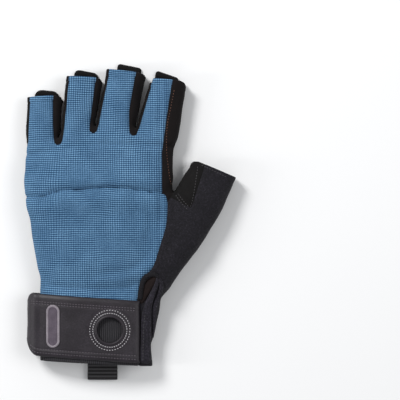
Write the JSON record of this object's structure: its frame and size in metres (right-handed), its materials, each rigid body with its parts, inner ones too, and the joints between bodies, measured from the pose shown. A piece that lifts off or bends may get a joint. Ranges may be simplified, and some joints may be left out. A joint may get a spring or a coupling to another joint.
{
  "type": "climbing glove",
  "caption": "Fingerless left-hand climbing glove with knit back, suede palm, terry thumb, wrist strap with a carabiner hole and a webbing pull loop.",
  "frame": {"origin": "on the floor under the middle of the glove, which lies palm down", "axes": "+Y from the cuff to the fingertips, +X towards the thumb, +Z out of the back of the hand"},
  "size_m": [0.1394, 0.2096, 0.0245],
  "materials": {
    "blue_knit": "ribbed stretch knit, matt, fine rows across the hand",
    "palm_suede": "synthetic suede, warm black, matt",
    "side_suede": "thin suede strips, warm black, matt",
    "thumb_terry": "brushed terry, dark navy black, fuzzy",
    "cuff_elastic": "ribbed elastic, black",
    "band_twill": "twill woven elastic band, black",
    "strap_leather": "smooth synthetic leather, charcoal, slight sheen",
    "badge_thread": "satin stitched thread, grey",
    "webbing": "ribbed nylon webbing, black"
  },
  "bodies": {
    "root": {"back_knuckle_panel": "blue_knit", "back_lower_panel": "blue_knit", "cuff_gusset": "cuff_elastic", "wrist_gusset": "side_suede", "fourchette_little_ring": "side_suede", "fourchette_ring_middle": "side_suede", "fourchette_middle_index": "side_suede", "index_side_panel": "side_suede", "thumb_palm_panel": "palm_suede", "thumb_terry_panel": "thumb_terry", "cuff_palm_band": "band_twill", "palm_panel": "palm_suede", "palm_pad_upper": "palm_suede", "palm_pad_index": "palm_suede", "palm_pad_heel": "palm_suede", "finger_tab_little": "palm_suede", "finger_tab_ring": "palm_suede", "finger_tab_middle": "palm_suede", "finger_tab_index": "palm_suede", "cuff_edge_fold": "thumb_terry", "wrist_strap": "strap_leather", "strap_hole_ring": "strap_leather", "strap_badge": "badge_thread", "pull_loop": "webbing", "hang_loop_little_side": "webbing", "hang_loop_thumb_side": "webbing"}
  },
  "joints": []
}
